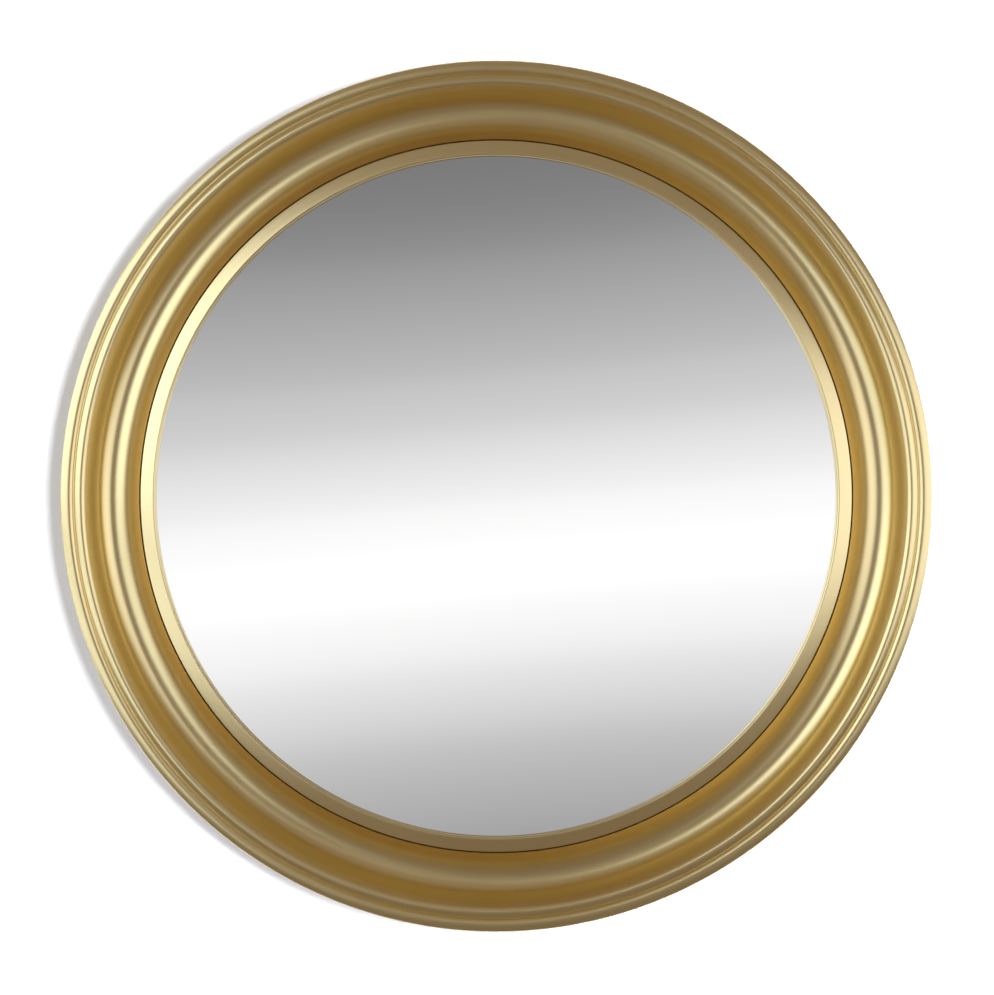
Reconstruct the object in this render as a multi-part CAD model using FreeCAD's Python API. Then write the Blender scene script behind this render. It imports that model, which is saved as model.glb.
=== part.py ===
"""Round convex wall mirror in a deep scooped gilt frame.

The mirror faces -Y with +Z up. The origin is on the wall, behind the mirror's centre, so the wall is the
plane y = 0. Every ring and disc is drawn as a section of radius against height, where height is measured
forwards from the frame's flat back, and is turned round the Y axis. All sizes are in millimetres.

From the front the frame has an outer roll, a quirk, a taller bead, a wide hollow and a separate slip that
stands in front of the domed glass. From the back the glass goes into the slip, then come a felt packing
ring and a hardboard back, held by turn buttons on screws. It hangs from a ring and stands off the wall on
two bumpers.
"""

import FreeCAD
import Part
import math
import os

# ---- Glass ----
glass_diameter = 400.0
glass_thickness = 3.0
glass_curve_radius = 800.0    # front face
glass_lap = 4.0               # how far the slip covers the glass
glass_fit = 1.5               # glass edge to the slip's skirt

# ---- Slip ----
slip_width = 8.6              # sight edge to the slip's nose
slip_gap = 0.8                # between the slip's nose and the frame's throat, seen as a dark line
slip_step = 0.3               # the slip's outer arris stands in front of the frame's arris
slip_arris_round = 0.4
slip_face_slope = 15.0        # degrees, the slip's face falls outwards
slip_sight_round = 1.2        # where the face turns down to the glass
slip_lip_height = 0.8         # the upright sight edge below that round
slip_flange_width = 5.4       # nose to flange
slip_fit = 0.5                # flange to rebate

# ---- Frame: overall ----
frame_depth = 32.0            # flat back to the top of the tall bead
wall_gap = 5.0                # the wall to the frame's flat back
side_draft = 2.0              # the side leans in by this much towards the back
back_edge_chamfer = 1.0
arris_edge_height = 10.4      # the frame's thin inner edge, from the rebate's shoulder to the arris

# ---- Frame: moulding, from the inner arris outwards ----
hollow_inner_width = 15.2     # inner arris to the bottom of the hollow
hollow_inner_radius = 13.0
hollow_inner_slope = 42.0     # degrees, the straight side up to the inner arris
hollow_outer_width = 17.8     # bottom of the hollow to the top of the tall bead
hollow_outer_radius = 10.7
hollow_wall_slope = 58.0      # degrees, the steep side of the hollow below the bead
bead_inner_radius = 3.07
bead_outer_width = 4.1        # top of the bead to the sharp quirk
bead_outer_fall = 2.51
roll_inner_width = 2.9        # quirk to the top of the outer roll
roll_inner_rise = 1.62
roll_outer_width = 4.6        # top of the roll to the outer edge
roll_outer_radius = 8.5
edge_round = 1.2              # where the face turns into the side

# ---- Packing and back board ----
packing_width = 10.0
board_thickness = 3.0
board_lap = 6.0               # how far the board reaches over the ledge
board_fit = 1.0
board_slip_gap = 1.0          # the board to the slip's rear edge

# ---- Slip pins ----
pin_count = 8
pin_diameter = 1.2
pin_bite = 4.0                # into the frame beyond the slip's flange
pin_head_diameter = 2.4
pin_head_height = 0.6
pin_inset = 2.0               # pin axis to the flange's edge
pin_start_angle = 22.5

# ---- Screws, all alike ----
screw_diameter = 3.5
screw_length = 12.0           # under the head
screw_point = 3.0
screw_head_diameter = 7.0
screw_head_height = 2.0
screw_head_round = 0.9
screw_slot_width = 0.9
screw_slot_depth = 1.0

# ---- Turn buttons ----
button_count = 6
button_length = 30.0
button_width = 12.0
button_thickness = 1.2
button_play = 0.05            # under the button, and again under its screw's head
button_pivot_inset = 8.0      # pivot to the outer end
button_board_gap = 1.0        # a button turned aside clears the board's recess by this
button_hole_fit = 0.05
button_toe_length = 6.0
button_toe_lift = 0.9
button_rib_radius = 2.2       # a stiffening rib, pressed up between the screw and the toe
button_rib_height = 0.5
button_rib_gap = 0.6          # from the rib to the screw's head, and to the bend of the toe

# ---- Hanger ----
plate_length = 44.0
plate_width = 12.0
plate_thickness = 1.0
plate_inset = 1.5             # plate to the edge of the board's recess
plate_hole_spacing = 32.0
knuckle_length = 10.0
knuckle_thickness = 0.8
knuckle_lift = 0.3            # the bore clears the face of the plate by this
ring_wire = 2.0
ring_fit = 0.1
ring_width = 20.0             # between wire centres
ring_height = 14.0
ring_corner = 2.5

# ---- Bumpers ----
bumper_diameter = 12.0
bumper_top_round = 1.2
bumper_inset = 9.0            # bumper's edge to the side of the frame's back
bumper_angles = (225.0, 315.0)

# ---- Worked out from the sizes above ----
glass_radius = glass_diameter / 2
skirt = glass_radius + glass_fit
sight = glass_radius - glass_lap
slip_nose = sight + slip_width
slip_flange = slip_nose + slip_flange_width
slip_back = board_thickness + board_slip_gap
throat = slip_nose + slip_gap
hollow_bottom = throat + hollow_inner_width
bead_top = hollow_bottom + hollow_outer_width
quirk = bead_top + bead_outer_width
roll_top = quirk + roll_inner_width
frame_radius = roll_top + roll_outer_width
rebate = slip_flange + slip_fit
board_recess = rebate + board_lap + board_fit
board_radius = board_recess - board_fit
back_radius = frame_radius - side_draft
button_pivot = board_recess + button_board_gap + button_width / 2
plate_height = board_recess + plate_inset + plate_width / 2
ring_axis = -(plate_thickness + knuckle_lift + ring_fit + ring_wire / 2)
bumper_radius = bumper_diameter / 2
bumper_place = back_radius - bumper_inset - bumper_radius


def round_radius(width, drop):
    """Radius of a round that leaves its top level and falls by a drop over a width."""
    return (width**2 + drop**2) / (2 * drop)


def section_point(radius, height):
    return FreeCAD.Vector(radius, -(wall_gap + height), 0)


def line(start, end):
    return Part.LineSegment(section_point(*start), section_point(*end)).toShape()


def arc(centre, radius, start, end):
    """An arc of the section from start to end, the short way round its centre."""
    middle = ((start[0] + end[0]) / 2 - centre[0], (start[1] + end[1]) / 2 - centre[1])
    scale = radius / math.hypot(*middle)
    through = (centre[0] + middle[0] * scale, centre[1] + middle[1] * scale)
    return Part.Arc(section_point(*start), section_point(*through), section_point(*end)).toShape()


def turned(edges):
    """Turns a closed section round the mirror's axis."""
    face = Part.Face(Part.Wire(edges))
    return face.revolve(FreeCAD.Vector(0, 0, 0), FreeCAD.Vector(0, 1, 0), 360)


def bar(radius, low, high):
    """A round bar along the mirror's axis between two heights."""
    return Part.makeCylinder(radius, high - low, section_point(0, high), FreeCAD.Vector(0, 1, 0))


def placed(shape, radius, angle):
    """Moves a shape out along +X, then turns it round the axis, anticlockwise from the front."""
    copy = shape.copy()
    copy.translate(FreeCAD.Vector(radius, 0, 0))
    copy.rotate(FreeCAD.Vector(0, 0, 0), FreeCAD.Vector(0, -1, 0), angle)
    return copy


# ---- Heights of the moulding, from the tall bead down ----
slope = math.radians(hollow_wall_slope)
inner_slope = math.radians(hollow_inner_slope)
bead_outer_radius = round_radius(bead_outer_width, bead_outer_fall)
roll_inner_radius = round_radius(roll_inner_width, roll_inner_rise)
quirk_height = frame_depth - bead_outer_fall
roll_height = quirk_height + roll_inner_rise
wall_top = (bead_top - bead_inner_radius * math.sin(slope),
            frame_depth - bead_inner_radius * (1 - math.cos(slope)))
wall_foot_place = hollow_bottom + hollow_outer_radius * math.sin(slope)
wall_foot = (wall_foot_place, wall_top[1] - (wall_top[0] - wall_foot_place) * math.tan(slope))
bottom_height = wall_foot[1] - hollow_outer_radius * (1 - math.cos(slope))
inner_foot = (hollow_bottom - hollow_inner_radius * math.sin(inner_slope),
              bottom_height + hollow_inner_radius * (1 - math.cos(inner_slope)))
arris_height = inner_foot[1] + (inner_foot[0] - throat) * math.tan(inner_slope)
shoulder_height = arris_height - arris_edge_height

# ---- Heights of the slip and the glass ----
slip_arris_height = arris_height + slip_step
face_slope = math.radians(slip_face_slope)
face_end = (slip_nose - slip_arris_round * (1 - math.sin(face_slope)),
            slip_arris_height - slip_arris_round * (1 - math.cos(face_slope)))
face_start_place = sight + slip_sight_round * (1 + math.sin(face_slope))
face_start = (face_start_place, face_end[1] + (face_end[0] - face_start_place) * math.tan(face_slope))
sight_top = (sight, face_start[1] - slip_sight_round * math.cos(face_slope))
glass_seat_height = sight_top[1] - slip_lip_height
glass_centre = glass_seat_height - math.sqrt(glass_curve_radius**2 - sight**2)
glass_crown = glass_centre + glass_curve_radius
curve_centre = (0, glass_centre)


def spread(count, start=0.0):
    return [start + 360.0 * i / count for i in range(count)]


def glass_height(radius, thickness=0.0):
    """Height of the glass's front face, or of one that lies a thickness behind it."""
    return glass_centre + math.sqrt((glass_curve_radius - thickness) ** 2 - radius**2)


# ---- Fasteners ----
def screw():
    """A slotted pan-head wood screw on the axis, its head's underside at height 0."""
    shank = bar(screw_diameter / 2, 0, screw_length - screw_point)
    tip = Part.makeCone(screw_diameter / 2, 0, screw_point,
                        section_point(0, screw_length - screw_point), FreeCAD.Vector(0, -1, 0))
    head = bar(screw_head_diameter / 2, -screw_head_height, 0)
    rim = [edge for edge in head.Edges if edge.CenterOfMass.y > -wall_gap + screw_head_height * 0.9]
    head = head.makeFillet(screw_head_round, rim)
    slot = Part.makeBox(screw_head_diameter * 2, screw_slot_depth * 2, screw_slot_width,
                        FreeCAD.Vector(-screw_head_diameter, -wall_gap + screw_head_height - screw_slot_depth,
                                       -screw_slot_width / 2))
    return head.cut(slot).fuse([shank, tip]).removeSplitter()


def raised(shape, height):
    """Moves a shape forwards by a height."""
    copy = shape.copy()
    copy.translate(FreeCAD.Vector(0, -height, 0))
    return copy


button_screws = [placed(raised(screw(), -(button_thickness + 2 * button_play)), button_pivot, angle)
                 for angle in spread(button_count)]
plate_screw = raised(screw(), -plate_thickness)
plate_screws = []
for side in (-1, 1):
    one = plate_screw.copy()
    one.translate(FreeCAD.Vector(side * plate_hole_spacing / 2, 0, plate_height))
    plate_screws.append(one)

pin = bar(pin_diameter / 2, slip_back, shoulder_height + pin_bite).fuse(
    bar(pin_head_diameter / 2, slip_back - pin_head_height, slip_back))
pins = [placed(pin, slip_flange - pin_inset, angle) for angle in spread(pin_count, pin_start_angle)]


# ---- Frame ring ----
def frame_ring():
    """The turned ring, with its moulded face, stepped rebate and screw and pin holes."""
    # Outer edge: the roll's face meets the small round that turns it into the side.
    round_place = frame_radius - edge_round
    to_round = round_place - roll_top
    reach = roll_outer_radius - edge_round
    round_height = roll_height - roll_outer_radius + math.sqrt(reach**2 - to_round**2)
    lean = math.asin(to_round / reach)
    roll_end = (round_place + edge_round * math.sin(lean), round_height + edge_round * math.cos(lean))
    side_top = (frame_radius, round_height)

    quirk_point = (quirk, quirk_height)
    roll_point = (roll_top, roll_height)
    bead_point = (bead_top, frame_depth)
    bottom = (hollow_bottom, bottom_height)
    arris = (throat, arris_height)
    edges = [
        line((board_recess, 0), (back_radius - back_edge_chamfer, 0)),
        line((back_radius - back_edge_chamfer, 0), (back_radius, back_edge_chamfer)),
        line((back_radius, back_edge_chamfer), side_top),
        arc((round_place, round_height), edge_round, side_top, roll_end),
        arc((roll_top, roll_height - roll_outer_radius), roll_outer_radius, roll_end, roll_point),
        arc((roll_top, roll_height - roll_inner_radius), roll_inner_radius, roll_point, quirk_point),
        arc((bead_top, frame_depth - bead_outer_radius), bead_outer_radius, quirk_point, bead_point),
        arc((bead_top, frame_depth - bead_inner_radius), bead_inner_radius, bead_point, wall_top),
        line(wall_top, wall_foot),
        arc((hollow_bottom, bottom_height + hollow_outer_radius), hollow_outer_radius, wall_foot, bottom),
        arc((hollow_bottom, bottom_height + hollow_inner_radius), hollow_inner_radius, bottom, inner_foot),
        line(inner_foot, arris),
        line(arris, (throat, shoulder_height)),
        line((throat, shoulder_height), (rebate, shoulder_height)),
        line((rebate, shoulder_height), (rebate, board_thickness)),
        line((rebate, board_thickness), (board_recess, board_thickness)),
        line((board_recess, board_thickness), (board_recess, 0)),
    ]
    return turned(edges).cut(button_screws + plate_screws + pins)


# ---- Slip ----
def slip_ring():
    """The ring next to the glass. Its skirt holds the glass's edge, and its flange seats in the rebate."""
    nose_end = (slip_nose, slip_arris_height - slip_arris_round)
    edges = [
        arc(curve_centre, glass_curve_radius, (sight, glass_height(sight)), (skirt, glass_height(skirt))),
        line((skirt, glass_height(skirt)), (skirt, slip_back)),
        line((skirt, slip_back), (slip_flange, slip_back)),
        line((slip_flange, slip_back), (slip_flange, shoulder_height)),
        line((slip_flange, shoulder_height), (slip_nose, shoulder_height)),
        line((slip_nose, shoulder_height), nose_end),
        arc((slip_nose - slip_arris_round, nose_end[1]), slip_arris_round, nose_end, face_end),
        line(face_end, face_start),
        arc((sight + slip_sight_round, sight_top[1]), slip_sight_round, face_start, sight_top),
        line(sight_top, (sight, glass_height(sight))),
    ]
    return turned(edges).cut(pins)


# ---- Glass, packing and board ----
def mirror_glass():
    """The domed glass, silvered behind, with a straight ground edge."""
    rim_front = (glass_radius, glass_height(glass_radius))
    rim_back = (glass_radius, glass_height(glass_radius, glass_thickness))
    edges = [
        arc(curve_centre, glass_curve_radius, (0, glass_crown), rim_front),
        line(rim_front, rim_back),
        arc(curve_centre, glass_curve_radius - glass_thickness, rim_back, (0, glass_crown - glass_thickness)),
        line((0, glass_crown - glass_thickness), (0, glass_crown)),
    ]
    return turned(edges)


def packing_ring():
    """A felt ring cut to the hollow of the glass, which the board presses forwards."""
    inner = glass_radius - packing_width
    outer_top = (glass_radius, glass_height(glass_radius, glass_thickness))
    inner_top = (inner, glass_height(inner, glass_thickness))
    edges = [
        line((glass_radius, board_thickness), outer_top),
        arc(curve_centre, glass_curve_radius - glass_thickness, outer_top, inner_top),
        line(inner_top, (inner, board_thickness)),
        line((inner, board_thickness), (glass_radius, board_thickness)),
    ]
    return turned(edges)


def back_board():
    return bar(board_radius, 0, board_thickness)


# ---- Turn buttons ----
def turn_button():
    """A stamped strip with round ends and a lifted toe, pivot on the axis, toe towards -X."""
    inner_end = button_length - button_pivot_inset
    toe_start = inner_end - button_toe_length
    back = -button_thickness
    side = [(button_pivot_inset, 0), (-toe_start, 0), (-inner_end, -button_toe_lift),
            (-inner_end, back - button_toe_lift), (-toe_start, back), (button_pivot_inset, back)]
    corners = [section_point(*p) + FreeCAD.Vector(0, 0, -button_width / 2) for p in side]
    strip = Part.Face(Part.makePolygon(corners + corners[:1])).extrude(FreeCAD.Vector(0, 0, button_width))
    half = button_width / 2
    deep = button_thickness + button_toe_lift
    outline = bar(half, -deep, 0).fuse(Part.makeBox(
        button_length - button_width, deep, button_width,
        FreeCAD.Vector(-(button_length - button_width), -wall_gap, -half)))
    far = bar(half, -deep, 0)
    far.translate(FreeCAD.Vector(-(button_length - button_width), 0, 0))
    outline = outline.fuse(far)
    outline.translate(FreeCAD.Vector(button_pivot_inset - half, 0, 0))
    rib_end = toe_start - button_rib_gap
    rib_length = rib_end - screw_head_diameter / 2 - button_rib_gap
    rib_axis = -wall_gap + button_thickness + button_rib_height - button_rib_radius
    rib = Part.makeCylinder(button_rib_radius, rib_length, FreeCAD.Vector(-rib_end, rib_axis, 0),
                            FreeCAD.Vector(1, 0, 0))
    rib = rib.common(Part.makeBox(rib_length, button_thickness + button_rib_height, button_width,
                                  FreeCAD.Vector(-rib_end, -wall_gap, -half)))
    crown_ends = [edge for edge in rib.Edges if edge.Curve.TypeId == "Part::GeomCircle"]
    rib = rib.makeFillet(button_rib_height / 3, crown_ends)
    hole = bar(screw_diameter / 2 + button_hole_fit, -button_thickness, 0)
    return raised(strip.common(outline).fuse(rib).cut(hole).removeSplitter(), -button_play)


# ---- Hanger ----
def hanger_plate():
    """A flat plate with two screw holes and a folded knuckle over the ring's bar."""
    half = plate_width / 2
    plate = Part.makeBox(plate_length - plate_width, plate_thickness, plate_width,
                         FreeCAD.Vector(-(plate_length - plate_width) / 2, -wall_gap, -half))
    for side in (-1, 1):
        end = bar(half, -plate_thickness, 0)
        end.translate(FreeCAD.Vector(side * (plate_length - plate_width) / 2, 0, 0))
        plate = plate.fuse(end)
    inner = ring_wire / 2 + ring_fit
    outer = inner + knuckle_thickness
    start = FreeCAD.Vector(-knuckle_length / 2, -(wall_gap + ring_axis), 0)
    along = FreeCAD.Vector(1, 0, 0)
    legs = Part.makeBox(knuckle_length, -ring_axis, 2 * outer,
                        FreeCAD.Vector(-knuckle_length / 2, -wall_gap, -outer))
    knuckle = Part.makeCylinder(outer, knuckle_length, start, along).fuse(legs)
    bore = Part.makeCylinder(inner, knuckle_length, start, along)
    plate = plate.fuse(knuckle).cut(bore)
    plate.translate(FreeCAD.Vector(0, 0, plate_height))
    return plate.cut(plate_screws).removeSplitter()


def hanger_ring():
    """A wire ring with a straight bar in the knuckle and a round bow, hanging down."""
    y = -(wall_gap + ring_axis)
    half = ring_width / 2
    bow = ring_height - half
    turn = ring_corner * (1 - math.sqrt(0.5))

    def at(x, drop):
        return FreeCAD.Vector(x, y, plate_height - drop)

    path = Part.Wire([
        Part.LineSegment(at(0, 0), at(half - ring_corner, 0)).toShape(),
        Part.Arc(at(half - ring_corner, 0), at(half - turn, turn), at(half, ring_corner)).toShape(),
        Part.LineSegment(at(half, ring_corner), at(half, bow)).toShape(),
        Part.Arc(at(half, bow), at(0, ring_height), at(-half, bow)).toShape(),
        Part.LineSegment(at(-half, bow), at(-half, ring_corner)).toShape(),
        Part.Arc(at(-half, ring_corner), at(-(half - turn), turn), at(-(half - ring_corner), 0)).toShape(),
        Part.LineSegment(at(-(half - ring_corner), 0), at(0, 0)).toShape(),
    ])
    wire = Part.Wire(Part.makeCircle(ring_wire / 2, at(0, 0), FreeCAD.Vector(1, 0, 0)))
    return path.makePipeShell([wire], True, False)


# ---- Bumpers ----
def bumper():
    """A moulded foot on the axis, from the frame's back to the wall."""
    foot = bar(bumper_radius, -wall_gap, 0)
    rim = [edge for edge in foot.Edges
           if edge.Curve.TypeId == "Part::GeomCircle" and abs(edge.CenterOfMass.y) < wall_gap / 2]
    return foot.makeFillet(bumper_top_round, rim)


pieces = {
    "frame_ring": frame_ring(),
    "slip_ring": slip_ring(),
    "mirror_glass": mirror_glass(),
    "packing_ring": packing_ring(),
    "back_board": back_board(),
    "slip_pins": Part.makeCompound(pins),
    "turn_button_screws": Part.makeCompound(button_screws),
    "hanger_plate": hanger_plate(),
    "hanger_ring": hanger_ring(),
    "hanger_screws": Part.makeCompound(plate_screws),
}
for number, angle in enumerate(spread(button_count), 1):
    pieces[f"turn_button_{number}"] = placed(turn_button(), button_pivot, angle)
for name, angle in zip(("bumper_left", "bumper_right"), bumper_angles):
    pieces[name] = placed(bumper(), bumper_place, angle)

os.makedirs("parts", exist_ok=True)
for name, shape in pieces.items():
    shape.exportStep(f"parts/{name}.step")
    print(name, len(shape.Solids), "valid" if shape.isValid() else "INVALID", round(shape.Volume, 1))
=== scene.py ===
import bpy
import math
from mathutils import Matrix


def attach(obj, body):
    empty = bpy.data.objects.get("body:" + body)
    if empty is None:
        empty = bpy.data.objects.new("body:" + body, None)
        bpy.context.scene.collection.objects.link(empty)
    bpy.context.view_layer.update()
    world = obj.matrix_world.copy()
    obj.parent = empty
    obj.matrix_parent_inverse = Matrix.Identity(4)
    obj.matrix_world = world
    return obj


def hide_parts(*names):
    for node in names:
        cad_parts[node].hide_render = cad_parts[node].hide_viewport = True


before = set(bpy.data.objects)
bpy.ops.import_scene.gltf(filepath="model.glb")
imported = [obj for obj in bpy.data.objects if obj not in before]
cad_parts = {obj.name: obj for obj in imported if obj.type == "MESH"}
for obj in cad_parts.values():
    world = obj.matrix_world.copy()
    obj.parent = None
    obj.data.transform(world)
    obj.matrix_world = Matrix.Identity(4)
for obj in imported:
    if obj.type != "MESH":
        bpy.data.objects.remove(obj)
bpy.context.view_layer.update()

# ---- Gilt frame ring ----
# A turned wooden ring with a moulded face, gessoed, gilded and rubbed back on the lathe. Its rear is bare
# wood. Its section is drawn in millimetres, as radius against height above the flat back, and turned round
# the mirror's axis.
MM = 0.001
WALL_GAP = 5.0
FRAME_DEPTH = 32.0
THROAT = 205.4
HOLLOW_BOTTOM = THROAT + 15.2
HOLLOW_INNER_ROUND = 13.0
HOLLOW_INNER_SLOPE = math.radians(42.0)
HOLLOW_OUTER_ROUND = 10.7
WALL_SLOPE = math.radians(58.0)
BEAD_TOP = HOLLOW_BOTTOM + 17.8
BEAD_INNER_ROUND = 3.07
QUIRK = BEAD_TOP + 4.1
BEAD_OUTER_FALL = 2.51
QUIRK_SOFTENING = 0.12
ROLL_TOP = QUIRK + 2.9
ROLL_INNER_RISE = 1.62
ROLL_OUTER_ROUND = 8.5
FRAME_RADIUS = ROLL_TOP + 4.6
EDGE_ROUND = 1.2
SIDE_DRAFT = 2.0
BACK_CHAMFER = 1.0
ARRIS_EDGE = 10.4
REBATE = 210.5
BOARD_RECESS = 217.5
BOARD_THICKNESS = 3.0
TURN_STEPS = 480
SMOOTH_BELOW = math.radians(28)
WELD = 0.002


def round_radius(width, drop):
    """Radius of a round that leaves its top level and falls by a drop over a width."""
    return (width**2 + drop**2) / (2 * drop)


def fall(radius, run):
    """How far a round of this radius falls over a run measured from its top."""
    return radius - math.sqrt(radius**2 - run**2)


def open_section(name, start):
    """Begins a section in the plane z = 0 as one point, (radius, height), and leaves it in edit mode."""
    bpy.ops.object.select_all(action="DESELECT")
    bpy.ops.mesh.primitive_plane_add(size=MM, location=(start[0] * MM, -(WALL_GAP + start[1]) * MM, 0))
    bpy.context.object.name = name
    bpy.ops.object.transform_apply(location=True, rotation=True, scale=True)
    bpy.ops.object.mode_set(mode="EDIT")
    bpy.ops.mesh.select_mode(type="VERT")
    bpy.ops.mesh.select_all(action="SELECT")
    bpy.ops.mesh.merge(type="CENTER")
    return start


def line_to(here, there, steps=1):
    """Draws the section straight on to a point."""
    move = ((there[0] - here[0]) * MM / steps, -(there[1] - here[1]) * MM / steps, 0)
    for _ in range(steps):
        bpy.ops.mesh.extrude_vertices_move(TRANSFORM_OT_translate={"value": move})
    return there


def arc_to(here, there, centre, steps):
    """Draws the section on to a point round a centre, the short way."""
    before = math.atan2(here[1] - centre[1], here[0] - centre[0])
    after = math.atan2(there[1] - centre[1], there[0] - centre[0])
    sweep = (after - before + math.pi) % (2 * math.pi) - math.pi
    bpy.ops.mesh.spin(steps=steps, angle=sweep, axis=(0, 0, 1),
                      center=(centre[0] * MM, -(WALL_GAP + centre[1]) * MM, 0))
    return there


def turn_section():
    """Turns the drawn section round the mirror's axis into a closed piece with outward faces."""
    bpy.ops.mesh.select_all(action="SELECT")
    bpy.ops.mesh.spin(steps=TURN_STEPS, angle=2 * math.pi, center=(0, 0, 0), axis=(0, 1, 0))
    bpy.ops.mesh.select_all(action="SELECT")
    bpy.ops.mesh.remove_doubles(threshold=WELD * MM)
    bpy.ops.mesh.normals_make_consistent(inside=False)
    bpy.ops.object.mode_set(mode="OBJECT")
    bpy.ops.object.shade_smooth_by_angle(angle=SMOOTH_BELOW)
    return bpy.context.object


def frame_section():
    """Draws the frame's section from its rear inner corner round to where it began. Gives the heights of the
    inner arris and of the shoulder that the slip rests against."""
    bead_outer_round = round_radius(QUIRK - BEAD_TOP, BEAD_OUTER_FALL)
    roll_inner_round = round_radius(ROLL_TOP - QUIRK, ROLL_INNER_RISE)
    roll_height = FRAME_DEPTH - BEAD_OUTER_FALL + ROLL_INNER_RISE
    round_place = FRAME_RADIUS - EDGE_ROUND
    reach = ROLL_OUTER_ROUND - EDGE_ROUND
    roll_centre = (ROLL_TOP, roll_height - ROLL_OUTER_ROUND)
    round_centre = (round_place, roll_centre[1] + math.sqrt(reach**2 - (round_place - ROLL_TOP) ** 2))
    lean = math.asin((round_place - ROLL_TOP) / reach)
    roll_end = (round_centre[0] + EDGE_ROUND * math.sin(lean), round_centre[1] + EDGE_ROUND * math.cos(lean))
    bead_centre = (BEAD_TOP, FRAME_DEPTH - BEAD_INNER_ROUND)
    wall_top = (BEAD_TOP - BEAD_INNER_ROUND * math.sin(WALL_SLOPE),
                bead_centre[1] + BEAD_INNER_ROUND * math.cos(WALL_SLOPE))
    foot_place = HOLLOW_BOTTOM + HOLLOW_OUTER_ROUND * math.sin(WALL_SLOPE)
    wall_foot = (foot_place, wall_top[1] - (wall_top[0] - foot_place) * math.tan(WALL_SLOPE))
    bottom = (HOLLOW_BOTTOM, wall_foot[1] - HOLLOW_OUTER_ROUND * (1 - math.cos(WALL_SLOPE)))
    inner_foot = (HOLLOW_BOTTOM - HOLLOW_INNER_ROUND * math.sin(HOLLOW_INNER_SLOPE),
                  bottom[1] + HOLLOW_INNER_ROUND * (1 - math.cos(HOLLOW_INNER_SLOPE)))
    arris = (THROAT, inner_foot[1] + (inner_foot[0] - THROAT) * math.tan(HOLLOW_INNER_SLOPE))
    shoulder = arris[1] - ARRIS_EDGE

    back = FRAME_RADIUS - SIDE_DRAFT
    here = open_section("gilt_frame", (BOARD_RECESS, 0))
    here = line_to(here, (back - BACK_CHAMFER, 0), steps=3)
    here = line_to(here, (back, BACK_CHAMFER))
    here = line_to(here, (FRAME_RADIUS, round_centre[1]), steps=3)
    here = arc_to(here, roll_end, round_centre, steps=8)
    here = arc_to(here, (ROLL_TOP, roll_height), roll_centre, steps=9)
    quirk_run = ROLL_TOP - QUIRK - QUIRK_SOFTENING
    here = arc_to(here, (QUIRK + QUIRK_SOFTENING, roll_height - fall(roll_inner_round, quirk_run)),
                  (ROLL_TOP, roll_height - roll_inner_round), steps=12)
    quirk_run = QUIRK - BEAD_TOP - QUIRK_SOFTENING
    here = line_to(here, (QUIRK - QUIRK_SOFTENING, FRAME_DEPTH - fall(bead_outer_round, quirk_run)))
    here = arc_to(here, (BEAD_TOP, FRAME_DEPTH), (BEAD_TOP, FRAME_DEPTH - bead_outer_round), steps=13)
    here = arc_to(here, wall_top, bead_centre, steps=13)
    here = line_to(here, wall_foot, steps=3)
    here = arc_to(here, bottom, (HOLLOW_BOTTOM, bottom[1] + HOLLOW_OUTER_ROUND), steps=16)
    here = arc_to(here, inner_foot, (HOLLOW_BOTTOM, bottom[1] + HOLLOW_INNER_ROUND), steps=14)
    here = line_to(here, arris, steps=3)
    here = line_to(here, (THROAT, shoulder), steps=2)
    here = line_to(here, (REBATE, shoulder))
    here = line_to(here, (REBATE, BOARD_THICKNESS))
    here = line_to(here, (BOARD_RECESS, BOARD_THICKNESS))
    line_to(here, (BOARD_RECESS, 0))
    return arris[1], shoulder


FRAME_ARRIS, SHOULDER = frame_section()
gilt_frame = turn_section()


def new_material(name):
    """A material that holds only a Principled shader and the output it feeds."""
    material = bpy.data.materials.new(name)
    material.use_nodes = True
    nodes = material.node_tree.nodes
    nodes.clear()
    shader = nodes.new("ShaderNodeBsdfPrincipled")
    output = nodes.new("ShaderNodeOutputMaterial")
    material.node_tree.links.new(shader.outputs["BSDF"], output.inputs["Surface"])
    return material, shader


def node(tree, kind, **values):
    """Adds a node; a value names an input socket, or an attribute where there is no such socket."""
    made = tree.nodes.new("ShaderNode" + kind)
    for key, value in values.items():
        label = key.replace("_", " ")
        if label in made.inputs:
            made.inputs[label].default_value = value
        else:
            setattr(made, key, value)
    return made


def join(tree, source, target, out=0, into=0):
    """Joins two nodes, by the names or numbers of their sockets, and gives back the second."""
    tree.links.new(source.outputs[out], target.inputs[into])
    return target


def ramp_between(tree, source, stops, out=0):
    """A colour ramp fed by a node; stops are (position, grey or colour)."""
    ramp = tree.nodes.new("ShaderNodeValToRGB")
    while len(ramp.color_ramp.elements) < len(stops):
        ramp.color_ramp.elements.new(0.5)
    for element, (position, colour) in zip(ramp.color_ramp.elements, stops):
        element.position = position
        element.color = (colour, colour, colour, 1) if isinstance(colour, float) else (*colour, 1)
    tree.links.new(source.outputs[out], ramp.inputs["Fac"])
    return ramp


def new_group(name, inputs, outputs):
    """A node group with number sockets: the inputs come with a value each, the outputs by name alone."""
    group = bpy.data.node_groups.new(name, "ShaderNodeTree")
    for label, value in inputs.items():
        group.interface.new_socket(label, in_out="INPUT", socket_type="NodeSocketFloat").default_value = value
    for label in outputs:
        group.interface.new_socket(label, in_out="OUTPUT", socket_type="NodeSocketFloat")
    return group, group.nodes.new("NodeGroupInput"), group.nodes.new("NodeGroupOutput")


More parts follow.
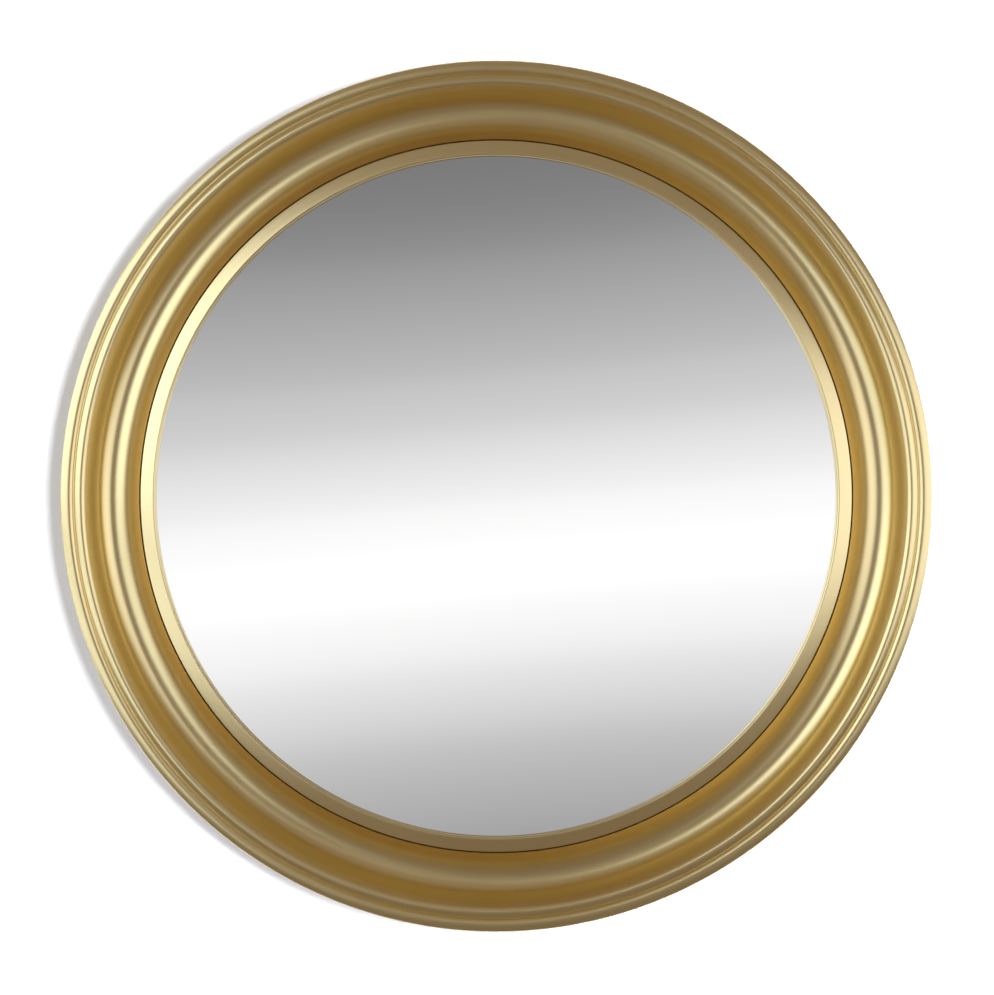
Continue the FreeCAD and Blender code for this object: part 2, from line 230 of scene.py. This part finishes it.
def lathe_marks_group():
    """Rings left by the lathe and the burnisher: a height and a mask that change with radius only, with a
    slow drift round the ring so that no line is perfect. It gives the radius too, for the painted shade by
    radius."""
    group, given, result = new_group("lathe_marks", {"Rings per metre": 1500.0, "Drift": 0.35},
                                     ("Height", "Mask", "Radius"))
    place = node(group, "TexCoord")
    split = join(group, place, node(group, "SeparateXYZ"), "Object")
    squash = group.nodes.new("ShaderNodeCombineXYZ")
    join(group, split, squash, "X", "X")
    join(group, split, squash, "Z", "Z")
    radius = node(group, "VectorMath", operation="LENGTH")
    join(group, squash, radius)
    join(group, radius, result, "Value", "Radius")
    wander = node(group, "TexNoise", Scale=5.0, Detail=1.0)
    join(group, place, wander, "Object", "Vector")
    wander_scaled = node(group, "Math", operation="MULTIPLY")
    join(group, wander, wander_scaled, "Fac", 0)
    join(group, given, wander_scaled, "Drift", 1)
    rings = node(group, "Math", operation="MULTIPLY_ADD")
    join(group, radius, rings, "Value", 0)
    join(group, given, rings, "Rings per metre", 1)
    join(group, wander_scaled, rings, 0, 2)
    lines = node(group, "TexNoise", noise_dimensions="1D", Scale=1.0, Detail=4.0, Roughness=0.65)
    join(group, rings, lines, 0, "W")
    join(group, lines, result, "Fac", "Height")
    mask = ramp_between(group, lines, [(0.35, 0.0), (0.65, 1.0)], "Fac")
    join(group, mask, result, "Color", "Mask")
    return group


def patina_group():
    """Slow cloudiness of a rubbed finish, with a finer speckle in it."""
    group, given, result = new_group("patina", {"Cloud size": 14.0, "Speckle size": 260.0},
                                     ("Cloud", "Speckle"))
    place = node(group, "TexCoord")
    for size, detail, out in (("Cloud size", 3.0, "Cloud"), ("Speckle size", 5.0, "Speckle")):
        noise = node(group, "TexNoise", Detail=detail, Roughness=0.6)
        join(group, place, noise, "Object", "Vector")
        join(group, given, noise, size, "Scale")
        join(group, noise, result, "Fac", out)
    return group


lathe_marks = lathe_marks_group()
patina = patina_group()


def use_group(tree, group, **values):
    """Places a node group in a material with its own values."""
    made = tree.nodes.new("ShaderNodeGroup")
    made.node_tree = group
    for key, value in values.items():
        made.inputs[key.replace("_", " ")].default_value = value
    return made


SATIN = 0.3
GLOSS_DRIFT = 0.02
LACQUER_IOR = 2.0
# The colour sockets of a Mix node, whose names other sockets share.
MIX_A = 6
MIX_B = 7
MIX_RESULT = 2


def gilding(name, light, deep, painted_shade=()):
    """Satin gilding under a clear lacquer: metal whose colour and gloss drift slightly, with turned rings in
    its surface. The painted shade, a tint at each of some radii, darkens it in the recesses where shade
    falls."""
    material, shader = new_material(name)
    tree = material.node_tree
    shader.inputs["Metallic"].default_value = 1.0
    shader.inputs["Coat Weight"].default_value = 1.0
    shader.inputs["Coat Roughness"].default_value = SATIN
    shader.inputs["Coat IOR"].default_value = LACQUER_IOR
    marks = use_group(tree, lathe_marks, Rings_per_metre=1400.0, Drift=0.5)
    age = use_group(tree, patina, Cloud_size=6.0, Speckle_size=500.0)
    blend = node(tree, "Mix", data_type="FLOAT", Factor=0.25)
    join(tree, age, blend, "Cloud", "A")
    join(tree, marks, blend, "Mask", "B")
    colour = ramp_between(tree, blend, [(0.25, deep), (0.75, light)])
    if not painted_shade:
        join(tree, colour, shader, "Color", "Base Color")
    else:
        # Painted shade: the colour is multiplied by a tint that follows the radius, darker and deeper gold in
        # the recesses.
        across = node(tree, "MapRange", From_Min=THROAT * MM, From_Max=FRAME_RADIUS * MM)
        join(tree, marks, across, "Radius", "Value")
        painted_shade_ramp = ramp_between(tree, across, [((place - THROAT) / (FRAME_RADIUS - THROAT), tint)
                                           for place, tint in painted_shade])
        shaded_colour = node(tree, "Mix", data_type="RGBA", blend_type="MULTIPLY", Factor=1.0)
        join(tree, colour, shaded_colour, "Color", MIX_A)
        join(tree, painted_shade_ramp, shaded_colour, "Color", MIX_B)
        join(tree, shaded_colour, shader, MIX_RESULT, "Base Color")
    gloss = node(tree, "MapRange", From_Min=0.3, From_Max=0.7, To_Min=SATIN - GLOSS_DRIFT,
                 To_Max=SATIN + GLOSS_DRIFT)
    join(tree, age, gloss, "Cloud", "Value")
    join(tree, gloss, shader, 0, "Roughness")
    relief = node(tree, "Bump", Strength=0.22, Distance=0.00004)
    join(tree, marks, relief, "Height", "Height")
    join(tree, relief, shader, 0, "Normal")
    return material


def bare_wood(name):
    """Planed pale wood with its grain along X, a little dusty."""
    material, shader = new_material(name)
    tree = material.node_tree
    place = node(tree, "TexCoord")
    stretch = node(tree, "Mapping", Scale=(0.12, 1.0, 1.0))
    join(tree, place, stretch, "Object", "Vector")
    rings = node(tree, "TexWave", wave_type="BANDS", bands_direction="Z", Scale=34.0, Distortion=9.0,
                 Detail=4.0)
    join(tree, stretch, rings, 0, "Vector")
    fibre = node(tree, "TexNoise", Scale=900.0, Detail=3.0)
    join(tree, stretch, fibre, 0, "Vector")
    blend = node(tree, "Mix", data_type="FLOAT", Factor=0.65)
    join(tree, rings, blend, "Fac", "A")
    join(tree, fibre, blend, "Fac", "B")
    colour = ramp_between(tree, blend, [(0.2, (0.40, 0.26, 0.14)), (0.8, (0.58, 0.41, 0.24))])
    join(tree, colour, shader, "Color", "Base Color")
    shader.inputs["Roughness"].default_value = 0.62
    relief = node(tree, "Bump", Strength=0.3, Distance=0.0002)
    join(tree, fibre, relief, "Fac", "Height")
    join(tree, relief, shader, 0, "Normal")
    return material


def finish_rear(piece, material, is_rear):
    """Puts a second material on the faces that a test picks by their centre and normal."""
    piece.data.materials.append(material)
    slot = len(piece.data.materials) - 1
    for face in piece.data.polygons:
        if is_rear(face):
            face.material_index = slot


STRAIGHT_ON = 0.9
MARGIN = 0.1


def is_bare_wood(face):
    """True for the flat back, and for all that the rebate and the board's recess show."""
    inside = math.hypot(face.center.x, face.center.z) < (BOARD_RECESS + MARGIN) * MM
    behind_shoulder = face.center.y > -(WALL_GAP + SHOULDER + MARGIN) * MM
    return face.normal.y > STRAIGHT_ON or inside and behind_shoulder


# Painted shade in the hollow: tints that darken the frame's gilding and deepen its gold at the foot beside
# the slip and on the hollow's outer wall, where shade and light bounced between gilt faces fall. The radii
# give where each tint starts, is full and fades.
UNSHADED = 1.0
FOOT_PAINTED_SHADE = (0.84, 0.71, 0.41)
FOOT_END = THROAT + 4.0
FOOT_FADED = THROAT + 7.0
HOLLOW_WALL_PAINTED_SHADE = (0.93, 0.85, 0.50)
WALL_BEGINNING = HOLLOW_BOTTOM + 5.0
WALL_DEEPEST = HOLLOW_BOTTOM + 7.5
WALL_DEEP_END = HOLLOW_BOTTOM + 12.5
WALL_FADED = HOLLOW_BOTTOM + 14.5
recess_painted_shade = ((FOOT_END, FOOT_PAINTED_SHADE), (FOOT_FADED, UNSHADED), (WALL_BEGINNING, UNSHADED),
                (WALL_DEEPEST, HOLLOW_WALL_PAINTED_SHADE), (WALL_DEEP_END, HOLLOW_WALL_PAINTED_SHADE), (WALL_FADED, UNSHADED))
frame_gold = gilding("frame_gilding_and_painted_shade", (0.87, 0.69, 0.31), (0.83, 0.65, 0.28), recess_painted_shade)
gilt_frame.data.materials.append(frame_gold)
finish_rear(gilt_frame, bare_wood("frame_back_wood"), is_bare_wood)
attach(gilt_frame, "mirror_body")
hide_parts("frame_ring")

# ---- Slip ----
# The narrow gilt wooden ring next to the glass, turned on its own and pinned in from behind. Its flat face
# falls outwards to a dark gap, and its inner edge rolls over to the glass.
GLASS_RADIUS = 200.0
SIGHT = GLASS_RADIUS - 4.0
SKIRT = GLASS_RADIUS + 1.5
SLIP_GAP = 0.8
SLIP_STEP = 0.3
ARRIS_ROUND = 0.4
FACE_SLOPE = math.radians(15.0)
SIGHT_ROUND = 1.2
LIP_HEIGHT = 0.8
FLANGE = 210.0
SLIP_BACK = 4.0
SLIP_ARRIS = FRAME_ARRIS + SLIP_STEP
NOSE = THROAT - SLIP_GAP
FACE_END = (NOSE - ARRIS_ROUND * (1 - math.sin(FACE_SLOPE)),
            SLIP_ARRIS - ARRIS_ROUND * (1 - math.cos(FACE_SLOPE)))
FACE_START_PLACE = SIGHT + SIGHT_ROUND * (1 + math.sin(FACE_SLOPE))
FACE_START = (FACE_START_PLACE, FACE_END[1] + (FACE_END[0] - FACE_START_PLACE) * math.tan(FACE_SLOPE))
SIGHT_TOP = (SIGHT, FACE_START[1] - SIGHT_ROUND * math.cos(FACE_SLOPE))
GLASS_CURVE = 800.0
GLASS_SEAT = SIGHT_TOP[1] - LIP_HEIGHT
GLASS_CENTRE = GLASS_SEAT - math.sqrt(GLASS_CURVE**2 - SIGHT**2)


def glass_front(radius):
    """Height of the front of the glass at a radius."""
    return GLASS_CENTRE + math.sqrt(GLASS_CURVE**2 - radius**2)


def slip_section():
    """Draws the slip's section from the sight edge, back behind the glass, and round over the face."""
    nose_end = (NOSE, SLIP_ARRIS - ARRIS_ROUND)
    here = open_section("gilt_slip", (SIGHT, glass_front(SIGHT)))
    here = arc_to(here, (SKIRT, glass_front(SKIRT)), (0, GLASS_CENTRE), steps=2)
    here = line_to(here, (SKIRT, SLIP_BACK), steps=2)
    here = line_to(here, (FLANGE, SLIP_BACK), steps=2)
    here = line_to(here, (FLANGE, SHOULDER))
    here = line_to(here, (NOSE, SHOULDER))
    here = line_to(here, nose_end, steps=2)
    here = arc_to(here, FACE_END, (NOSE - ARRIS_ROUND, nose_end[1]), steps=6)
    here = line_to(here, FACE_START, steps=3)
    here = arc_to(here, SIGHT_TOP, (SIGHT + SIGHT_ROUND, SIGHT_TOP[1]), steps=12)
    line_to(here, (SIGHT, glass_front(SIGHT)))


slip_section()
gilt_slip = turn_section()
gilt_slip.data.materials.append(gilding("slip_gilding", (0.88, 0.705, 0.33), (0.84, 0.665, 0.30)))
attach(gilt_slip, "mirror_body")
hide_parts("slip_ring")

# ---- Mirror glass ----
# A domed disc of 3 mm glass, silvered and painted grey behind, with a ground edge. The front is an even
# sphere, so it is drawn fine enough for its reflection to run smoothly from edge to edge.
GLASS_THICKNESS = 3.0


def glass_section():
    """Draws the section of the glass from the middle of its front, round the rim, to that of its back."""
    back = GLASS_CURVE - GLASS_THICKNESS
    rim_back = GLASS_CENTRE + math.sqrt(back**2 - GLASS_RADIUS**2)
    here = open_section("domed_glass", (0, GLASS_CENTRE + GLASS_CURVE))
    here = arc_to(here, (GLASS_RADIUS, glass_front(GLASS_RADIUS)), (0, GLASS_CENTRE), steps=90)
    here = line_to(here, (GLASS_RADIUS, rim_back))
    arc_to(here, (0, GLASS_CENTRE + back), (0, GLASS_CENTRE), steps=24)


glass_section()
domed_glass = turn_section()


def silvering():
    """The front of the glass with its silver behind: a sharp reflection that is very slightly cool."""
    material, shader = new_material("silvered_glass")
    tree = material.node_tree
    shader.inputs["Metallic"].default_value = 1.0
    shader.inputs["Roughness"].default_value = 0.0
    age = use_group(tree, patina, Cloud_size=4.0, Speckle_size=60.0)
    colour = ramp_between(tree, age, [(0.3, (0.925, 0.93, 0.93)), (0.7, (0.94, 0.94, 0.935))], "Cloud")
    join(tree, colour, shader, "Color", "Base Color")
    return material


def backing_paint():
    """Grey paint over the silver, brushed on, and the greenish ground edge."""
    material, shader = new_material("mirror_backing_paint")
    tree = material.node_tree
    age = use_group(tree, patina, Cloud_size=20.0, Speckle_size=300.0)
    colour = ramp_between(tree, age, [(0.3, (0.20, 0.22, 0.21)), (0.7, (0.27, 0.29, 0.28))], "Cloud")
    join(tree, colour, shader, "Color", "Base Color")
    shader.inputs["Roughness"].default_value = 0.55
    return material


def is_painted(face):
    """True for the back and the rim. The front alone faces the viewer."""
    return face.normal.y > -STRAIGHT_ON


domed_glass.data.materials.append(silvering())
finish_rear(domed_glass, backing_paint(), is_painted)
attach(domed_glass, "mirror_body")
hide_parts("mirror_glass")

# ---- Packing ----
# A ring of grey felt, cut to the hollow back of the glass. The board presses it against the rim, and once the
# board is in it shows nowhere.


def felt():
    """Matt grey wool with a coarse nap."""
    material, shader = new_material("grey_felt")
    tree = material.node_tree
    age = use_group(tree, patina, Cloud_size=60.0, Speckle_size=900.0)
    colour = ramp_between(tree, age, [(0.3, (0.20, 0.19, 0.175)), (0.7, (0.34, 0.32, 0.29))], "Speckle")
    join(tree, colour, shader, "Color", "Base Color")
    shader.inputs["Roughness"].default_value = 0.95
    relief = node(tree, "Bump", Strength=0.6, Distance=0.0004)
    join(tree, age, relief, "Speckle", "Height")
    join(tree, relief, shader, 0, "Normal")
    return material


def dress(name, material):
    """Gives a piece that comes from the CAD a finish in place of its plain one."""
    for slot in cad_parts[name].material_slots:
        slot.material = material


dress("packing_ring", felt())

# ---- Back board ----
# A disc of 3 mm brown hardboard, smooth side out, let into the back of the frame. The turn buttons hold it
# in. It is faintly mottled and scuffed.


def hardboard():
    """Pressed brown board with a slight sheen that comes and goes."""
    material, shader = new_material("brown_hardboard")
    tree = material.node_tree
    age = use_group(tree, patina, Cloud_size=9.0, Speckle_size=700.0)
    blend = node(tree, "Mix", data_type="FLOAT", Factor=0.5)
    join(tree, age, blend, "Cloud", "A")
    join(tree, age, blend, "Speckle", "B")
    colour = ramp_between(tree, blend, [(0.3, (0.17, 0.095, 0.048)), (0.7, (0.27, 0.165, 0.088))])
    join(tree, colour, shader, "Color", "Base Color")
    gloss = node(tree, "MapRange", From_Min=0.3, From_Max=0.7, To_Min=0.42, To_Max=0.58)
    join(tree, age, gloss, "Cloud", "Value")
    join(tree, gloss, shader, 0, "Roughness")
    relief = node(tree, "Bump", Strength=0.25, Distance=0.0001)
    join(tree, age, relief, "Speckle", "Height")
    join(tree, relief, shader, 0, "Normal")
    return material


dress("back_board", hardboard())

# ---- Turn buttons, screws, pins and hanger ----
# Zinc-plated steel. The buttons are stamped and turn on pan-head screws, and the pins are brads. The hanger
# is a plate folded round a bent wire ring and screwed to the top of the frame.
PLATING_ROUGHNESS = 0.34
PLATING_DRIFT = 0.08


def zinc_plate():
    """Dulled zinc, clouded and faintly grained."""
    material, shader = new_material("zinc_plate")
    tree = material.node_tree
    shader.inputs["Metallic"].default_value = 1.0
    age = use_group(tree, patina, Cloud_size=120.0, Speckle_size=1500.0)
    colour = ramp_between(tree, age, [(0.3, (0.50, 0.47, 0.41)), (0.7, (0.62, 0.60, 0.55))], "Cloud")
    join(tree, colour, shader, "Color", "Base Color")
    gloss = node(tree, "MapRange", From_Min=0.3, From_Max=0.7, To_Min=PLATING_ROUGHNESS - PLATING_DRIFT,
                 To_Max=PLATING_ROUGHNESS + PLATING_DRIFT)
    join(tree, age, gloss, "Speckle", "Value")
    join(tree, gloss, shader, 0, "Roughness")
    relief = node(tree, "Bump", Strength=0.15, Distance=0.00005)
    join(tree, age, relief, "Speckle", "Height")
    join(tree, relief, shader, 0, "Normal")
    return material


zinc = zinc_plate()
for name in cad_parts:
    if name.startswith(("turn_button", "hanger", "slip_pins")):
        dress(name, zinc)

# ---- Bumpers ----
# Two moulded black rubber feet, stuck to the lower part of the frame's back. They touch the wall and hold the
# frame off it.


def rubber():
    """Matt black rubber with a fine grain."""
    material, shader = new_material("black_rubber")
    tree = material.node_tree
    age = use_group(tree, patina, Cloud_size=200.0, Speckle_size=2500.0)
    colour = ramp_between(tree, age, [(0.3, (0.018, 0.018, 0.018)), (0.7, (0.035, 0.034, 0.033))], "Cloud")
    join(tree, colour, shader, "Color", "Base Color")
    shader.inputs["Roughness"].default_value = 0.6
    relief = node(tree, "Bump", Strength=0.3, Distance=0.0001)
    join(tree, age, relief, "Speckle", "Height")
    join(tree, relief, shader, 0, "Normal")
    return material


bumper_rubber = rubber()
for name in ("bumper_left", "bumper_right"):
    dress(name, bumper_rubber)

# ---- Wall and floor ----
# The white wall that the mirror hangs on, and a pale floor below. Both are stage. The wall is not there for
# rays from behind it, so that the back can be lit and seen.
STAGE_SIZE = 3.2
WALL_SETBACK = 0.0005
FLOOR_DROP = 1.45
FLOOR_FORWARD = 0.2
WHITE_PAINT = (0.82, 0.84, 0.91, 1)
WALL_LIFT = 0.25
FLOOR_LIFT = 0.2


def stage_white(name, lift):
    """Matt white paint that reads as white to the camera, by a little lift, and keeps its shadows. Only its
    front is there, and it casts no shadow of its own."""
    material, shader = new_material(name)
    tree = material.node_tree
    shader.inputs["Base Color"].default_value = WHITE_PAINT
    shader.inputs["Roughness"].default_value = 0.9
    shader.inputs["Specular IOR Level"].default_value = 0.0
    path = node(tree, "LightPath")
    facing = node(tree, "NewGeometry")
    glow = node(tree, "Math", operation="MULTIPLY")
    glow.inputs[1].default_value = lift
    join(tree, path, glow, "Is Camera Ray", 0)
    shader.inputs["Emission Color"].default_value = (1, 1, 1, 1)
    join(tree, glow, shader, 0, "Emission Strength")
    open_ray = node(tree, "Math", operation="MAXIMUM")
    join(tree, path, open_ray, "Is Shadow Ray", 0)
    join(tree, facing, open_ray, "Backfacing", 1)
    clear = node(tree, "BsdfTransparent")
    choose = node(tree, "MixShader")
    join(tree, open_ray, choose, 0, 0)
    join(tree, shader, choose, "BSDF", 1)
    join(tree, clear, choose, 0, 2)
    output = next(n for n in tree.nodes if n.type == "OUTPUT_MATERIAL")
    join(tree, choose, output, 0, "Surface")
    return material


bpy.ops.object.select_all(action="DESELECT")
bpy.ops.mesh.primitive_plane_add(size=STAGE_SIZE, location=(0, WALL_SETBACK, 0),
                                 rotation=(math.radians(90), 0, 0))
wall = bpy.context.object
wall.name = "wall"
wall.data.materials.append(stage_white("wall_white", WALL_LIFT))
bpy.ops.mesh.primitive_plane_add(size=STAGE_SIZE, location=(0, -FLOOR_FORWARD, -FLOOR_DROP))
floor = bpy.context.object
floor.name = "floor"
floor.data.materials.append(stage_white("floor_white", FLOOR_LIFT))
floor.visible_glossy = False

# ---- Light ----
# A soft key close to the camera lights what is matt. Three wide soft boxes at the sides shine in what is
# satin: matt surfaces ignore them, and light linking keeps them out of the glass. A plain soft light stands
# behind, and the sky is quiet.
BOX_OFF_AXIS = 52.5
BOX_DISTANCE = 2.0
BOX_WIDTH = 2.85
COOL_DAYLIGHT = (0.78, 0.89, 1.0)
WHITE_LAMP = (0.85, 0.91, 1.0)


def aim(place):
    """The turn that points a lamp from a place at the middle of the mirror."""
    pan = math.atan2(place[0], -place[1])
    tilt = math.atan2(-place[2], math.hypot(place[0], place[1]))
    return (math.pi / 2 + tilt, 0, pan)


def soft_box(name, off_axis, around, distance, width, height, power, behind=False):
    """A rectangular lamp placed by its angle off the mirror's axis and its angle round it, in degrees.
    Lengths are in metres and power in watts."""
    lean = math.radians(off_axis)
    turn = math.radians(around)
    side = 1 if behind else -1
    place = (distance * math.sin(lean) * math.cos(turn), side * distance * math.cos(lean),
             distance * math.sin(lean) * math.sin(turn))
    bpy.ops.object.light_add(type="AREA", location=place, rotation=aim(place))
    lamp = bpy.context.object
    lamp.name = name
    lamp.data.shape = "RECTANGLE"
    lamp.data.size = width
    lamp.data.size_y = height
    lamp.data.energy = power
    return lamp


key = soft_box("key_light", off_axis=16, around=3, distance=2.6, width=0.4, height=0.4, power=66)
key.visible_glossy = False
not_mirror = bpy.data.collections.new("lit_without_the_mirror")
not_mirror.objects.link(domed_glass)
not_mirror.collection_objects[0].light_linking.link_state = "EXCLUDE"
for name, around, height, power, colour in (("left_box", 163, 1.15, 19, COOL_DAYLIGHT),
                                            ("low_left_box", 198, 0.5, 6.5, COOL_DAYLIGHT),
                                            ("right_box", 2, 1.05, 13, WHITE_LAMP)):
    box = soft_box(name, BOX_OFF_AXIS, around, BOX_DISTANCE, BOX_WIDTH, height, power)
    box.data.color = colour
    box.visible_diffuse = False
    box.visible_camera = False
    box.light_linking.receiver_collection = not_mirror
soft_box("back_light", off_axis=35, around=60, distance=2.5, width=1.6, height=1.6, power=55, behind=True)

SKY_LEAN = math.radians(5.0)
ROOM_BRIGHTNESS = 1.25


def sky():
    """A quiet warm grey for satin surfaces, brighter overhead than below, and the same without its colour for
    matt ones. A sharp mirror sees the room instead, lightest at eye level. The camera sees white."""
    world = bpy.data.worlds.new("studio")
    bpy.context.scene.world = world
    world.use_nodes = True
    tree = world.node_tree
    tree.nodes.clear()
    place = node(tree, "TexCoord")
    lean = node(tree, "Mapping", Rotation=(0, SKY_LEAN, 0))
    join(tree, place, lean, "Generated", "Vector")
    height = join(tree, lean, node(tree, "SeparateXYZ"))
    level = node(tree, "MapRange", From_Min=-1.0, From_Max=1.0)
    join(tree, height, level, "Z", "Value")
    soft = ramp_between(tree, level, [(0.2, (0.205, 0.165, 0.132)), (0.5, (0.19, 0.154, 0.123)),
                                       (0.75, (0.245, 0.199, 0.16)), (1.0, (0.29, 0.236, 0.19))])
    plain = join(tree, soft, node(tree, "RGBToBW"), "Color")
    room = ramp_between(tree, level, [(0.0, 0.26), (0.216, 0.324), (0.294, 0.496), (0.354, 0.70),
                                      (0.407, 0.83), (0.434, 0.864), (0.461, 0.845), (0.5, 0.757),
                                      (0.56, 0.572), (0.612, 0.438), (0.707, 0.266), (0.785, 0.17),
                                      (1.0, 0.20)])
    room.color_ramp.interpolation = "CARDINAL"
    bright = node(tree, "VectorMath", operation="SCALE", Scale=ROOM_BRIGHTNESS)
    join(tree, room, bright, "Color", 0)
    path = node(tree, "LightPath")
    warm = node(tree, "Mix", data_type="RGBA")
    join(tree, path, warm, "Is Diffuse Ray", "Factor")
    join(tree, soft, warm, "Color", MIX_A)
    join(tree, plain, warm, "Val", MIX_B)
    seen = node(tree, "Mix", data_type="RGBA")
    join(tree, path, seen, "Is Singular Ray", "Factor")
    join(tree, warm, seen, MIX_RESULT, MIX_A)
    join(tree, bright, seen, "Vector", MIX_B)
    white = node(tree, "Mix", data_type="RGBA")
    white.inputs[MIX_B].default_value = (1, 1, 1, 1)
    join(tree, seen, white, MIX_RESULT, MIX_A)
    join(tree, path, white, "Is Camera Ray", "Factor")
    light = node(tree, "Background")
    join(tree, white, light, MIX_RESULT, "Color")
    output = node(tree, "OutputWorld")
    join(tree, light, output, 0, "Surface")


sky()

# ---- Camera ----
# Straight on, level with the middle of the mirror, from far enough to flatten it. Its distance comes from how
# many pixels the frame's outline takes up.
LENS = 100.0
SENSOR = 36.0
PICTURE_HEIGHT = 995
OUTLINE_RADIUS_PX = 435.7
OUTLINE_SETBACK = 3.0
CENTRE_LEFT_PX = 0.8
CENTRE_UP_PX = 1.3

pixel = FRAME_RADIUS * MM / OUTLINE_RADIUS_PX
outline_y = -(WALL_GAP + FRAME_DEPTH - OUTLINE_SETBACK) * MM
distance = pixel * PICTURE_HEIGHT * LENS / SENSOR
place = (CENTRE_LEFT_PX * pixel, outline_y - distance, -CENTRE_UP_PX * pixel)
bpy.ops.object.camera_add(location=place, rotation=(math.radians(90), 0, 0))
camera = bpy.context.object
camera.data.lens = LENS
camera.data.sensor_width = SENSOR
bpy.context.scene.camera = camera
bpy.context.scene.view_settings.view_transform = "Standard"
